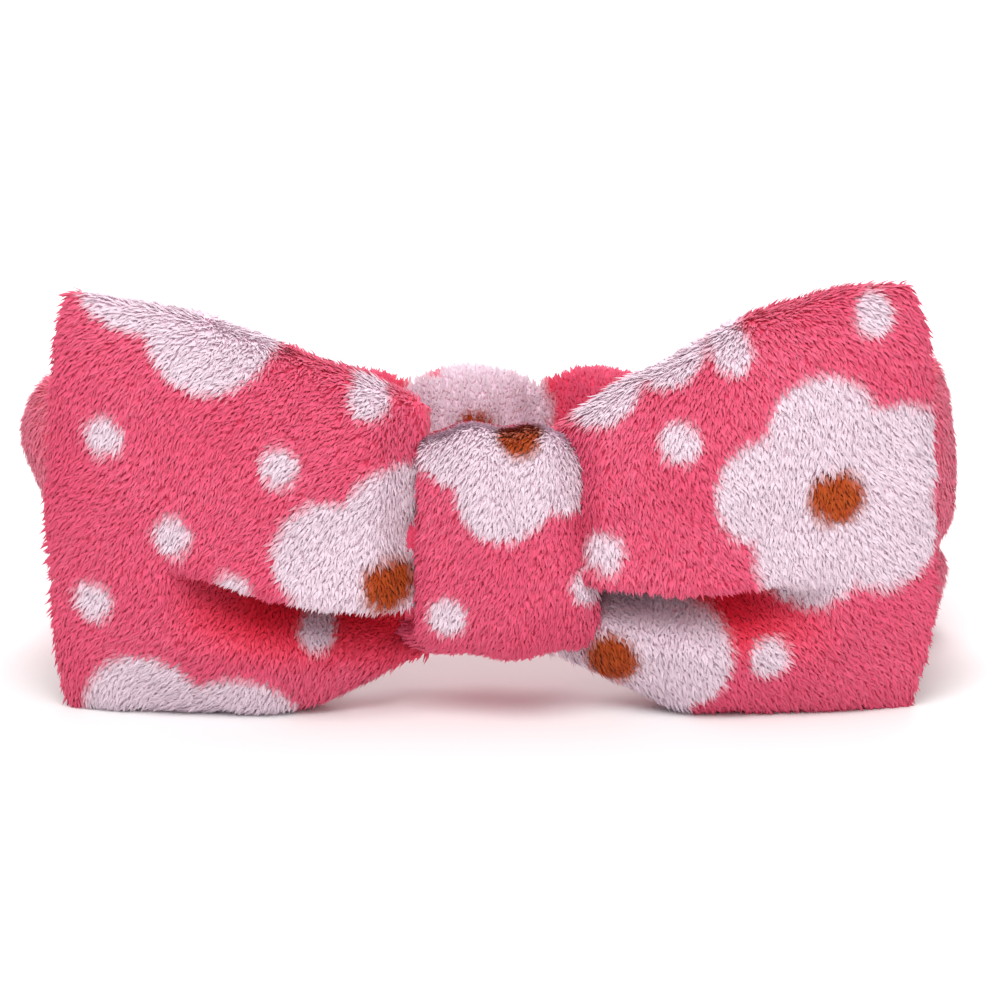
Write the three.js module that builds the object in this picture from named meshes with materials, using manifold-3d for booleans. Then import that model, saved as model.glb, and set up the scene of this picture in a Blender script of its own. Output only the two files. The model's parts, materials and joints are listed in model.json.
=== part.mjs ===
// Spa headband: a fleece sleeve gathered over an elastic loop, with a pillow bow held by a wrapped knot.
// Millimetres, +Z up. It stands on its lower edges, the bow faces -Y and the head passes through along Z.
import * as THREE from 'three';
import { mergeVertices } from 'three/addons/utils/BufferGeometryUtils.js';
import Module from 'manifold-3d';

const { smoothstep } = THREE.MathUtils;

// The loop, measured on the sleeve's centre line, with the elastic slack.
const ringHalfWidth = 102;
const ringHalfDepth = 44;

// Sleeve of fleece round the elastic; its thickness follows from what it holds.
const sleeveWall = 3;
const sleeveEase = 0.25;
const sideHeight = 68;
const edgeChamfer = 3;

// Rear of the sleeve, which the elastic gathers into puckers.
const rearHeight = 52;
const rearReachFromSide = 23;
const gatherBlend = 30;
const puckerPitch = 30.5;
const puckerSwell = 2;
const puckerScallop = 2.5;
const puckerShift = -4;

// Front of the sleeve, pinched by the knot: how far the pinch spreads and its room inside the knot.
const pinchReach = 56;
const pinchRoom = 2.7;

// Elastic webbing.
const elasticWidth = 25;
const elasticThickness = 1.2;
const elasticOverlap = 24;
const elasticLayerGap = 0.5;

// Knot: a strip wrapped round the pinched bow and the sleeve.
const knotHeight = 55.4;
const knotBase = 13;
const knotWall = 4.5;
const knotTopWidth = 34;
const knotBottomWidth = 41;
const knotCrown = 4;
const knotSlit = 0.8;
const knotFit = 1.9;
const knotSquareness = 6;
const knotEdgeThinning = 0.45;

// Pinched middle of the bow.
const gatherDepth = 15;
const gatherFoldDepth = 0.9;
const gatherFolds = 3;
const gatherRounding = 0.35;

// Wings of the bow, each two panels of fleece sewn round the edge.
const wingReach = 98;
const wingHeight = 96;
const wingRootHeight = 57;
const wingRootBase = 13;
const wingRootGap = 2.5;
const panelWall = 3.4;
const frontPuff = 18;
const backPuff = 7;
const rootPuff = 0.28;
const pleatDepth = 7;
const pleatHeight = 0.24;
const pleatSpread = 0.09;
const cornerRound = 0.07;
const fullFrom = 0.4;
const seamInset = 9;

// Sewing thread, and the gap kept between pieces that touch.
const threadRadius = 0.35;
const touchGap = 0.3;
const seamEase = 1.2;
const tackGap = 1.5;
const stitchPitch = 3.2;
const stitchReach = 2.6;

// How finely each shape is drawn.
const sleeveSteps = 64;
const elasticSteps = 52;
const knotSteps = [36, 6];
const panelSteps = [11, 12];

// Places that follow from the sizes above.
const layeredElastic = elasticThickness + elasticLayerGap / 2;
const sleeveRoom = layeredElastic + 2 * threadRadius + 2 * touchGap + sleeveEase;
const halfSleeve = sleeveWall + sleeveRoom;
const rearHalfSpan = ringHalfWidth - rearReachFromSide;
const sleeveFrontFace = -ringHalfDepth - halfSleeve;
const sleeveInsideFace = -ringHalfDepth + halfSleeve;
const knotMiddle = knotBase + knotHeight / 2;
const knotInnerHalfHeight = knotHeight / 2 - knotWall;
const pinchHeight = 2 * (knotInnerHalfHeight - pinchRoom);
const pinchBase = knotMiddle - pinchHeight / 2;
const gatherBackFace = sleeveFrontFace - tackGap;
const gatherFrontFace = gatherBackFace - gatherDepth;
const knotInnerHalfDepth = (sleeveInsideFace - gatherFrontFace) / 2 + knotFit;
const knotCentreY = (sleeveInsideFace + gatherFrontFace) / 2;
const knotRearFace = knotCentreY + knotInnerHalfDepth + knotWall;
const knotMeanHalfWidth = (knotTopWidth + knotBottomWidth) / 4;
const pinchStart = Math.max(knotTopWidth, knotBottomWidth) / 2 + wingRootGap;
const seamPlane = (gatherBackFace + gatherFrontFace) / 2;

const wasm = await Module();
wasm.setup();

const materials = {
  sleeve: new THREE.MeshStandardMaterial({ color: 0xdc5a78, roughness: 0.95, metalness: 0 }),
  rear: new THREE.MeshStandardMaterial({ color: 0xe07a96, roughness: 0.95, metalness: 0 }),
  wing: new THREE.MeshStandardMaterial({ color: 0xdf5c7c, roughness: 0.95, metalness: 0 }),
  back: new THREE.MeshStandardMaterial({ color: 0xcf4f70, roughness: 0.95, metalness: 0 }),
  knot: new THREE.MeshStandardMaterial({ color: 0xe6d0da, roughness: 0.95, metalness: 0 }),
  elastic: new THREE.MeshStandardMaterial({ color: 0xf2efe9, roughness: 0.8, metalness: 0 }),
  thread: new THREE.MeshStandardMaterial({ color: 0xd2607f, roughness: 0.6, metalness: 0 }),
};

// Signed volume of an indexed geometry, positive when its faces point outwards.
function signedVolume(geometry) {
  const position = geometry.getAttribute('position');
  const index = geometry.getIndex();
  const a = new THREE.Vector3();
  const b = new THREE.Vector3();
  const c = new THREE.Vector3();
  let volume = 0;
  for (let i = 0; i < index.count; i += 3) {
    a.fromBufferAttribute(position, index.getX(i));
    b.fromBufferAttribute(position, index.getX(i + 1));
    c.fromBufferAttribute(position, index.getX(i + 2));
    volume += a.dot(b.cross(c)) / 6;
  }
  return volume;
}

// Turns the faces outwards where a mirrored shape came out inside out.
function facingOut(geometry) {
  if (signedVolume(geometry) < 0) {
    const index = geometry.getIndex();
    for (let i = 0; i < index.count; i += 3) {
      const second = index.getX(i + 1);
      index.setX(i + 1, index.getX(i + 2));
      index.setX(i + 2, second);
    }
  }
  geometry.computeVertexNormals();
  return geometry;
}

// Closed body between two grids of points, given as functions of (along, across) from 0 to 1.
// A closed direction runs round on itself and needs no edge wall.
function wallBetween(outer, inner, steps, { closedAlong = false, closedAcross = false } = {}) {
  const [along, across] = steps;
  const rows = closedAlong ? along : along + 1;
  const columns = closedAcross ? across : across + 1;
  const positions = [];
  for (const side of [outer, inner]) {
    for (let i = 0; i < rows; i += 1) {
      for (let j = 0; j < columns; j += 1) {
        positions.push(...side(i / along, j / across).toArray());
      }
    }
  }
  const at = (side, i, j) => side * rows * columns + (i % rows) * columns + (j % columns);
  const triangles = [];
  const quad = (a, b, c, d) => triangles.push(a, b, c, a, c, d);
  for (let i = 0; i < along; i += 1) {
    for (let j = 0; j < across; j += 1) {
      quad(at(0, i, j), at(0, i + 1, j), at(0, i + 1, j + 1), at(0, i, j + 1));
      quad(at(1, i, j), at(1, i, j + 1), at(1, i + 1, j + 1), at(1, i + 1, j));
    }
  }
  if (!closedAlong) {
    for (let j = 0; j < across; j += 1) {
      quad(at(0, 0, j), at(0, 0, j + 1), at(1, 0, j + 1), at(1, 0, j));
      quad(at(0, along, j + 1), at(0, along, j), at(1, along, j), at(1, along, j + 1));
    }
  }
  if (!closedAcross) {
    for (let i = 0; i < along; i += 1) {
      quad(at(0, i + 1, 0), at(0, i, 0), at(1, i, 0), at(1, i + 1, 0));
      quad(at(0, i, across), at(0, i + 1, across), at(1, i + 1, across), at(1, i, across));
    }
  }
  const geometry = new THREE.BufferGeometry();
  geometry.setAttribute('position', new THREE.Float32BufferAttribute(positions, 3));
  geometry.setIndex(triangles);
  return facingOut(geometry);
}

function toSolid(geometry) {
  const bare = geometry.clone();
  bare.deleteAttribute('normal');
  bare.deleteAttribute('uv');
  const merged = mergeVertices(bare, 1e-4);
  const vertProperties = new Float32Array(merged.getAttribute('position').array);
  const triVerts = new Uint32Array(merged.getIndex().array);
  return new wasm.Manifold(new wasm.Mesh({ numProp: 3, vertProperties, triVerts }));
}

function toGeometry(solid) {
  const mesh = solid.getMesh();
  const geometry = new THREE.BufferGeometry();
  geometry.setAttribute('position', new THREE.Float32BufferAttribute(mesh.vertProperties, 3));
  geometry.setIndex(new THREE.Uint32BufferAttribute(mesh.triVerts, 1));
  geometry.computeVertexNormals();
  return geometry;
}

// Box used to cut the loop, from its lowest to its highest corner in plan, taller than anything here.
function cuttingBox(x0, x1, y0, y1) {
  const height = 2 * (sideHeight + wingHeight);
  const box = new THREE.BoxGeometry(x1 - x0, y1 - y0, height);
  box.translate((x0 + x1) / 2, (y0 + y1) / 2, 0);
  return toSolid(box);
}

// A point of the loop: offset runs outwards from the centre line in plan.
function ringPoint(angle, offset, height) {
  const slope = new THREE.Vector2(ringHalfDepth * Math.cos(angle), ringHalfWidth * Math.sin(angle));
  slope.normalize().multiplyScalar(offset);
  const x = ringHalfWidth * Math.cos(angle) + slope.x;
  const y = ringHalfDepth * Math.sin(angle) + slope.y;
  return new THREE.Vector3(x, y, height);
}

// How much of the rear gathering a place on the loop has, from 0 at the sides to 1.
function gathering(angle) {
  if (Math.sin(angle) <= 0) return 0;
  const across = Math.abs(ringHalfWidth * Math.cos(angle));
  return 1 - smoothstep(across, rearHalfSpan - gatherBlend, rearHalfSpan);
}

// How much the knot pinches a place on the loop, from 0 at the sides to 1 inside the knot.
function pinching(angle) {
  if (Math.sin(angle) > 0) return 0;
  const across = Math.abs(ringHalfWidth * Math.cos(angle));
  return 1 - smoothstep(across, pinchStart, pinchStart + pinchReach);
}

// Rises to 1 in the middle of each pucker and falls to 0 in the valley beside it.
function puckerWave(angle) {
  const along = ringHalfWidth * Math.cos(angle) - puckerShift;
  return (1 + Math.cos((2 * Math.PI * along) / puckerPitch)) / 2;
}

function sleeveBase(angle) {
  return pinchBase * pinching(angle);
}

function sleeveTop(angle) {
  const pinched = (pinchBase + pinchHeight - sideHeight) * pinching(angle);
  const scallop = puckerScallop * (1 - puckerWave(angle));
  const gathered = (rearHeight - scallop - sideHeight) * gathering(angle);
  return sideHeight + pinched + gathered;
}

// Corners of an upright rectangle with its edges cut, as [offset, height] pairs.
function chamferedSection(halfThickness, base, top, cut) {
  const flat = halfThickness - Math.min(cut, halfThickness / 2);
  return [
    [flat, base],
    [halfThickness, base + cut],
    [halfThickness, top - cut],
    [flat, top],
    [-flat, top],
    [-halfThickness, top - cut],
    [-halfThickness, base + cut],
    [-flat, base],
  ];
}

// Whole loop of sleeve, hollow inside, before it is cut into the stretch joint's two parts.
function sleeveLoop() {
  const corners = 8;
  const surface = (halfThickness, wall, cut, swell) => (along, across) => {
    const angle = 2 * Math.PI * along;
    const section = chamferedSection(halfThickness, sleeveBase(angle) + wall, sleeveTop(angle) - wall, cut);
    const [offset, height] = section[Math.round(across * corners) % corners];
    const puff = swell * gathering(angle) * puckerWave(angle);
    return ringPoint(angle, offset + Math.sign(offset) * puff, height);
  };
  const outside = surface(halfSleeve, 0, edgeChamfer, puckerSwell);
  const inside = surface(halfSleeve - sleeveWall, sleeveWall, edgeChamfer / 3, puckerSwell);
  return wallBetween(outside, inside, [sleeveSteps, corners], { closedAlong: true, closedAcross: true });
}

// Middle height of the sleeve, which the elastic follows.
function elasticMiddle(angle) {
  return (sleeveBase(angle) + sleeveTop(angle)) / 2;
}

// Whole loop of webbing at an offset from the centre line, before it is cut to length.
function elasticLoop(offset) {
  const half = elasticThickness / 2;
  const face = (side) => (along, across) => {
    const angle = 2 * Math.PI * along;
    const height = elasticMiddle(angle) + elasticWidth * (across - 0.5);
    return ringPoint(angle, offset + side * half, height);
  };
  return wallBetween(face(1), face(-1), [elasticSteps, 1], { closedAlong: true });
}

// The loop less its rear, cut on planes across X so that the rear slides past without touching.
function frontOf(loop) {
  const half = rearHalfSpan + touchGap / 2;
  const rear = cuttingBox(-half, half, 0, 2 * ringHalfDepth);
  return toGeometry(toSolid(loop).subtract(rear));
}

function rearOf(loop, x0, x1) {
  const rear = cuttingBox(x0, x1, 0, 2 * ringHalfDepth);
  return toGeometry(toSolid(loop).intersect(rear));
}

// Round thread along a list of points.
function threadAlong(points, steps) {
  const section = new THREE.Shape();
  section.absarc(0, 0, threadRadius, 0, 2 * Math.PI);
  const path = new THREE.CatmullRomCurve3(points);
  const thread = new THREE.ExtrudeGeometry(section, { steps, extrudePath: path, curveSegments: 3 });
  thread.deleteAttribute('normal');
  thread.deleteAttribute('uv');
  return facingOut(mergeVertices(thread, 1e-4));
}

// Seam line inside the sleeve's lower edge, beside the elastic, where the tube was sewn before it was turned.
function sleeveSeam(fromAngle, toAngle, steps) {
  const rise = sleeveWall + seamEase + threadRadius;
  const offset = -(layeredElastic + touchGap + threadRadius);
  const points = [];
  for (let i = 0; i <= steps; i += 1) {
    const angle = THREE.MathUtils.lerp(fromAngle, toAngle, i / steps);
    points.push(ringPoint(angle, offset, sleeveBase(angle) + rise));
  }
  return threadAlong(points, steps);
}

// Zigzag of thread between two places, swinging to either side of the line.
function zigzag(start, end, swing, count) {
  const points = [];
  for (let i = 0; i <= count; i += 1) {
    const side = i % 2 === 0 ? 1 : -1;
    points.push(new THREE.Vector3().lerpVectors(start, end, i / count).addScaledVector(swing, side));
  }
  return threadAlong(points, count * 3);
}

// Half the knot's width at a height.
function knotHalfWidth(height) {
  return THREE.MathUtils.lerp(knotBottomWidth, knotTopWidth, (height - knotBase) / knotHeight) / 2;
}

// Rounded loop in the YZ plane that the knot's strip follows, starting at its slit behind.
function knotPoint(turn, thickness, across) {
  const slitAngle = Math.asin((knotSlit / 2 / knotInnerHalfHeight) ** (knotSquareness / 2));
  const angle = THREE.MathUtils.lerp(slitAngle, 2 * Math.PI - slitAngle, turn);
  const rounded = (value) => Math.sign(value) * Math.abs(value) ** (2 / knotSquareness);
  const rise = rounded(Math.sin(angle));
  const depth = rounded(Math.cos(angle));
  const edge = 1 - knotEdgeThinning * (2 * across - 1) ** 4;
  const forward = Math.max(0, -Math.cos(angle));
  const crown = thickness > 0 ? knotCrown * forward * (1 - (2 * across - 1) ** 2) : 0;
  const y = knotCentreY + depth * (knotInnerHalfDepth + thickness * edge) - crown;
  const z = knotMiddle + rise * (knotInnerHalfHeight + thickness * edge);
  return new THREE.Vector3(knotHalfWidth(z) * (2 * across - 1), y, z);
}

function knotWrap() {
  const outside = (along, across) => knotPoint(along, knotWall, across);
  const inside = (along, across) => knotPoint(along, 0, across);
  return wallBetween(outside, inside, knotSteps);
}

// Closes the knot's strip behind, laid across the slit.
function knotSeam() {
  const half = Math.min(knotTopWidth, knotBottomWidth) / 2 - stitchPitch;
  const y = knotRearFace + touchGap + threadRadius;
  const start = new THREE.Vector3(-half, y, knotMiddle);
  const end = new THREE.Vector3(half, y, knotMiddle);
  const swing = new THREE.Vector3(0, 0, stitchReach);
  return zigzag(start, end, swing, Math.round((2 * half) / stitchPitch));
}

// Pinched middle of the bow inside the knot, with the folds of the gather on both faces.
function bowGather() {
  const outline = new THREE.Shape();
  const halfHeight = pinchHeight / 2;
  const perSide = 8 * gatherFolds;
  const fold = (part) => gatherFoldDepth * (1 - Math.cos(2 * Math.PI * gatherFolds * part)) / 2;
  for (const [face, inward, direction] of [[gatherFrontFace, 1, 1], [gatherBackFace, -1, -1]]) {
    for (let i = 0; i <= perSide; i += 1) {
      const part = i / perSide;
      const round = gatherDepth * gatherRounding * Math.abs(2 * part - 1) ** 6;
      const y = face + inward * (gatherFoldDepth - fold(part) + round);
      const z = knotMiddle + direction * halfHeight * (2 * part - 1);
      if (i === 0 && direction === 1) outline.moveTo(y, z);
      else outline.lineTo(y, z);
    }
  }
  const length = 2 * knotMeanHalfWidth;
  const gather = new THREE.ExtrudeGeometry(outline, { depth: length, bevelEnabled: false });
  gather.translate(0, 0, -length / 2);
  const yAxis = new THREE.Vector3(0, 1, 0);
  const zAxis = new THREE.Vector3(0, 0, 1);
  const xAxis = new THREE.Vector3(1, 0, 0);
  gather.applyMatrix4(new THREE.Matrix4().makeBasis(yAxis, zAxis, xAxis));
  return gather;
}

// Holds the gather to the sleeve, in the gap between them.
function bowTack() {
  const y = (sleeveFrontFace + gatherBackFace) / 2;
  const start = new THREE.Vector3(0, y, knotMiddle - pinchHeight / 4);
  const end = new THREE.Vector3(0, y, knotMiddle + pinchHeight / 4);
  const swing = new THREE.Vector3(stitchReach, 0, 0);
  return zigzag(start, end, swing, Math.round(pinchHeight / 2 / stitchPitch));
}

// Outline of a wing in its seam plane: along runs from the knot to the tip, up from its lower edge.
function wingOutline(side, along, up) {
  const tipRound = 1 - cornerRound * along * Math.abs(2 * up - 1) ** 6;
  const low = wingRootBase * (1 - smoothstep(along, 0, 0.5));
  const rootTop = wingRootBase + wingRootHeight;
  const high = rootTop + (wingHeight - rootTop) * Math.sin((Math.PI / 2) * along);
  const height = THREE.MathUtils.lerp(low, high, up);
  const rootHeight = wingRootBase + wingRootHeight * up;
  const root = knotHalfWidth(rootHeight) + wingRootGap;
  return new THREE.Vector2(side * (root + (wingReach - root) * along * tipRound), height);
}

// How full a wing is at a place, 0 on its sewn edge and 1 where it is fullest.
function fullness(along, up) {
  const lengthwise = (rootPuff + (1 - rootPuff) * smoothstep(along, 0, fullFrom)) * Math.sqrt(1 - along ** 4);
  return lengthwise * Math.sin(Math.PI * up) ** 0.6;
}

// One panel of a wing: facing is -1 for the front and 1 for the back.
function wingPanel(side, facing) {
  const puff = facing < 0 ? frontPuff : backPuff;
  const surface = (thickness) => (along, up) => {
    const place = wingOutline(side, along, up);
    const fold = facing < 0 ? pleatDepth * Math.exp(-(((up - pleatHeight) / pleatSpread) ** 2)) : 0;
    const full = Math.max(0, puff - fold * (1 - along) ** 2) * fullness(along, up);
    const y = seamPlane + facing * (touchGap / 2 + full + thickness);
    return new THREE.Vector3(place.x, y, place.y);
  };
  return wallBetween(surface(panelWall), surface(0), panelSteps);
}

// Seam thread round a wing's three sewn edges, on the allowance inside.
function wingSeam(side) {
  const upInset = seamInset / wingHeight;
  const tipInset = seamInset / (wingReach - pinchStart);
  const points = [];
  const runs = [
    [[0.12, upInset], [1 - tipInset, upInset], 10],
    [[1 - tipInset, 0.2], [1 - tipInset, 0.8], 6],
    [[1 - tipInset, 1 - upInset], [0.12, 1 - upInset], 10],
  ];
  for (const [from, to, count] of runs) {
    for (let i = 0; i <= count; i += 1) {
      const along = THREE.MathUtils.lerp(from[0], to[0], i / count);
      const up = THREE.MathUtils.lerp(from[1], to[1], i / count);
      const place = wingOutline(side, along, up);
      points.push(new THREE.Vector3(place.x, seamPlane, place.y));
    }
  }
  return threadAlong(points, 40);
}

// Zigzag that holds the overlapped ends of the webbing, on the face towards the head.
function elasticTack() {
  const rearAngle = Math.PI / 2;
  const half = elasticOverlap / 2 - stitchPitch;
  const curve = ringHalfDepth * Math.sqrt(1 - (half / ringHalfWidth) ** 2);
  const y = curve - layeredElastic - touchGap - threadRadius;
  const middle = elasticMiddle(rearAngle);
  const start = new THREE.Vector3(-half, y, middle);
  const end = new THREE.Vector3(half, y, middle);
  const swing = new THREE.Vector3(0, 0, elasticWidth / 2 - stitchPitch);
  return zigzag(start, end, swing, 2 * Math.round(half / stitchPitch));
}

const headband = new THREE.Group();

function addPiece(name, geometry, material) {
  const piece = new THREE.Mesh(geometry, material);
  piece.name = name;
  headband.add(piece);
}

function addSleeve() {
  const loop = sleeveLoop();
  const rearEnd = rearHalfSpan - touchGap / 2;
  addPiece('sleeve_front', frontOf(loop), materials.sleeve);
  addPiece('sleeve_rear', rearOf(loop, -rearEnd, rearEnd), materials.rear);
  const endAngle = Math.acos((rearHalfSpan + 2) / ringHalfWidth);
  const rearAngle = Math.acos((rearHalfSpan - 2) / ringHalfWidth);
  addPiece('sleeve_seam_front', sleeveSeam(Math.PI - endAngle, 2 * Math.PI + endAngle, 44), materials.thread);
  addPiece('sleeve_seam_rear', sleeveSeam(rearAngle, Math.PI - rearAngle, 24), materials.thread);
}

function addElastic() {
  const layer = (elasticThickness + elasticLayerGap) / 2;
  const rearEnd = rearHalfSpan - touchGap / 2;
  const lap = elasticOverlap / 2;
  addPiece('elastic_front', frontOf(elasticLoop(0)), materials.elastic);
  addPiece('elastic_end_left', rearOf(elasticLoop(layer), -rearEnd, lap), materials.elastic);
  addPiece('elastic_end_right', rearOf(elasticLoop(-layer), -lap, rearEnd), materials.elastic);
  addPiece('elastic_tack', elasticTack(), materials.thread);
}

function addBow() {
  addPiece('bow_gather', bowGather(), materials.back);
  addPiece('bow_tack', bowTack(), materials.thread);
  for (const [name, side] of [['left', -1], ['right', 1]]) {
    addPiece(`wing_${name}_front_panel`, wingPanel(side, -1), materials.wing);
    addPiece(`wing_${name}_back_panel`, wingPanel(side, 1), materials.back);
    addPiece(`wing_${name}_edge_seam`, wingSeam(side), materials.thread);
  }
}

function addKnot() {
  addPiece('knot_wrap', knotWrap(), materials.knot);
  addPiece('knot_seam', knotSeam(), materials.thread);
}

addSleeve();
addElastic();
addBow();
addKnot();

// The origin is the middle of the bounding box in plan, on the surface the headband stands on.
const box = new THREE.Box3().setFromObject(headband);
const middle = box.getCenter(new THREE.Vector3());
headband.position.set(-middle.x, -middle.y, -box.min.z);

export default headband;
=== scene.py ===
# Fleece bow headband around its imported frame. Metres, +Z up, the bow faces -Y.
import json
import math
import bmesh
import bpy
import numpy as np
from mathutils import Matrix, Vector, noise


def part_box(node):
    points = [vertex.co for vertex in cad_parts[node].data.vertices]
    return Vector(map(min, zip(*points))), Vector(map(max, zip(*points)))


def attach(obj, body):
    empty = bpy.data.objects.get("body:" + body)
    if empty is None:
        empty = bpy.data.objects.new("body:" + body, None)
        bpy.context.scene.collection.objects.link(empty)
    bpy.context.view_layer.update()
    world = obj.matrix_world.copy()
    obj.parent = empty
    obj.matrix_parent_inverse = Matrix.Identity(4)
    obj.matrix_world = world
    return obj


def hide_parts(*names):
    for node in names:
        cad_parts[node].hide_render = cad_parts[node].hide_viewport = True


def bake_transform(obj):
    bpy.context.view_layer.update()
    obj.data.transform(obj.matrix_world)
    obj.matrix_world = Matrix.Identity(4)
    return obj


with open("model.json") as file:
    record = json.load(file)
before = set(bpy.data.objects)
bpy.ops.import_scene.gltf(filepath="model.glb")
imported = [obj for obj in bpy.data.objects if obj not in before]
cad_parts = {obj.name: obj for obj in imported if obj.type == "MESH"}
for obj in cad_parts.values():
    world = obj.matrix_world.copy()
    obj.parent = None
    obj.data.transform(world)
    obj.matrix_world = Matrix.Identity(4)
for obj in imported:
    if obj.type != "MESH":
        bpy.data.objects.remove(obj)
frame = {"nodes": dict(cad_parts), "record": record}
scene = bpy.context.scene
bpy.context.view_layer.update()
mm = 0.001

# places taken from the frame
mounts = {mount["name"]: mount["pos_m"] for mount in frame["record"]["mounts"]}
ringY = mounts["rest_right"][1]                      # middle of the loop
ringA = mounts["rest_right"][0]                      # half width on the centre line
ringB = mounts["rest_rear"][1] - ringY               # half depth on the centre line
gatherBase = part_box("bow_gather")[0].z
knotLow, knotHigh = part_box("knot_wrap")
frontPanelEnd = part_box("wing_right_front_panel")[1].y
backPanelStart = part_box("wing_right_back_panel")[0].y
seamY = (frontPanelEnd + backPanelStart) / 2         # plane the wings are sewn in


def smooth(value, low, high):
    t = np.clip((np.asarray(value, float) - low) / (high - low), 0, 1)
    return t * t * (3 - 2 * t)


def bell(value, middle, spread):
    return np.exp(-((np.asarray(value, float) - middle) / spread) ** 2)


def signedPower(value, power):
    return np.sign(value) * np.abs(value) ** power


def evenTurns(count, halfWidth, halfHeight, squareness):
    # turns that are evenly spaced along the outline of a squared oval
    turn = np.linspace(0, 1, 4001)
    x = halfWidth * signedPower(np.cos(2 * np.pi * turn), 2 / squareness)
    y = halfHeight * signedPower(np.sin(2 * np.pi * turn), 2 / squareness)
    length = np.concatenate([[0], np.cumsum(np.hypot(np.diff(x), np.diff(y)))])
    return np.interp(np.arange(count) / count * length[-1], length, turn)


def gridFaces(rows, columns, closedRows=False, closedColumns=False):
    faces = []
    for i in range(rows if closedRows else rows - 1):
        for j in range(columns if closedColumns else columns - 1):
            row, nextRow = i * columns, ((i + 1) % rows) * columns
            nextColumn = (j + 1) % columns
            faces.append((row + j, nextRow + j, nextRow + nextColumn, row + nextColumn))
    return faces


def faceOut(obj):
    mesh = obj.data
    mesh.calc_loop_triangles()
    count = len(mesh.loop_triangles)
    corners = np.empty(count * 3, np.int64)
    mesh.loop_triangles.foreach_get("vertices", corners)
    points = meshPoints(obj)[corners.reshape(-1, 3)]
    volume = np.einsum("ij,ij->i", points[:, 0], np.cross(points[:, 1], points[:, 2])).sum()
    if volume < 0:
        mesh.flip_normals()


def addObject(name, mesh):
    obj = bpy.data.objects.new(name, mesh)
    scene.collection.objects.link(obj)
    return obj


def newMesh(name, points, faces):
    mesh = bpy.data.meshes.new(name)
    mesh.from_pydata([tuple(p) for p in points], [], faces)
    mesh.update()
    obj = addObject(name, mesh)
    faceOut(obj)
    mesh.polygons.foreach_set("use_smooth", [True] * len(mesh.polygons))
    return obj


def meshPoints(obj):
    points = np.empty(len(obj.data.vertices) * 3)
    obj.data.vertices.foreach_get("co", points)
    return points.reshape(-1, 3)


def setPoints(obj, points):
    obj.data.vertices.foreach_set("co", np.asarray(points, float).ravel())
    obj.data.update()


def meshNormals(obj):
    normals = np.empty(len(obj.data.vertices) * 3)
    obj.data.vertex_normals.foreach_get("vector", normals)
    return normals.reshape(-1, 3)


def cornerVertices(mesh):
    corners = np.empty(len(mesh.loops), np.int64)
    mesh.loops.foreach_get("vertex_index", corners)
    return corners


def keepAttribute(obj, name, values, kind="FLOAT"):
    attribute = obj.data.attributes.get(name) or obj.data.attributes.new(name, kind, "POINT")
    field = "vector" if kind == "FLOAT_VECTOR" else "value"
    attribute.data.foreach_set(field, np.asarray(values, np.float32).ravel())


def roughen(obj, size, height, seed=0.0):
    # uneven hand-sewn surface: soft noise along the normals
    points = meshPoints(obj)
    normals = meshNormals(obj)
    shift = Vector((seed, seed * 1.7, seed * 0.6))
    lift = [noise.noise(Vector(p) / size + shift) for p in points]
    setPoints(obj, points + normals * (np.array(lift) * height)[:, None])


# print of the fleece: five-petal flowers with a round middle, and small dots
flower = {
    "petalRadius": 12.0 * mm,
    "petalOut": 14.5 * mm,        # petal centre from the flower's middle
    "middleRadius": 13.0 * mm,    # white behind the coloured middle
    "eyeRadius": 5.8 * mm,        # the coloured middle
    "dotRadius": 4.3 * mm,
    "softEdge": 0.8 * mm,
}


def flowerMasks(points, flowers, dots):
    # points are (n, 2) on the cloth; returns how white and how eye-coloured each one is
    white = np.zeros(len(points))
    eye = np.zeros(len(points))
    soft = flower["softEdge"]
    for x, y, turn, size in flowers:
        away = points - np.array([x, y])
        inside = flower["middleRadius"] * size - np.hypot(away[:, 0], away[:, 1])
        for k in range(5):
            angle = math.radians(turn) + 2 * math.pi * k / 5
            centre = np.array([math.cos(angle), math.sin(angle)]) * flower["petalOut"] * size
            petal = flower["petalRadius"] * size - np.hypot(*(away - centre).T)
            inside = np.maximum(inside, petal)
        white = np.maximum(white, smooth(inside, -soft, soft))
        middle = flower["eyeRadius"] * size - np.hypot(away[:, 0], away[:, 1])
        eye = np.maximum(eye, smooth(middle, -soft, soft))
    for x, y in dots:
        inside = flower["dotRadius"] - np.hypot(*(points - np.array([x, y])).T)
        white = np.maximum(white, smooth(inside, -soft, soft))
    return white, eye


def motifs(plane, flowers, dots):
    # the same with lists written in millimetres: x, z, turn in degrees, size; and x, z
    scaled = [(x * mm, z * mm, turn, size) for x, z, turn, size in flowers]
    return flowerMasks(plane, scaled, [(x * mm, z * mm) for x, z in dots])


def newNodes(name):
    material = bpy.data.materials.new(name)
    material.use_nodes = True
    tree = material.node_tree
    tree.nodes.clear()
    output = tree.nodes.new("ShaderNodeOutputMaterial")
    shader = tree.nodes.new("ShaderNodeBsdfPrincipled")
    tree.links.new(shader.outputs["BSDF"], output.inputs["Surface"])
    return material, tree, shader


def attributeNode(tree, name):
    node = tree.nodes.new("ShaderNodeAttribute")
    node.attribute_name = name
    return node.outputs["Fac"]


def mixColours(tree, factor, first, second):
    mix = tree.nodes.new("ShaderNodeMix")
    mix.data_type = "RGBA"
    for socket, value in ((mix.inputs[0], factor), (mix.inputs[6], first), (mix.inputs[7], second)):
        if isinstance(value, (int, float)):
            socket.default_value = value
        elif isinstance(value, tuple):
            socket.default_value = (*value, 1)
        else:
            tree.links.new(value, socket)
    return mix.outputs[2]


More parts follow.
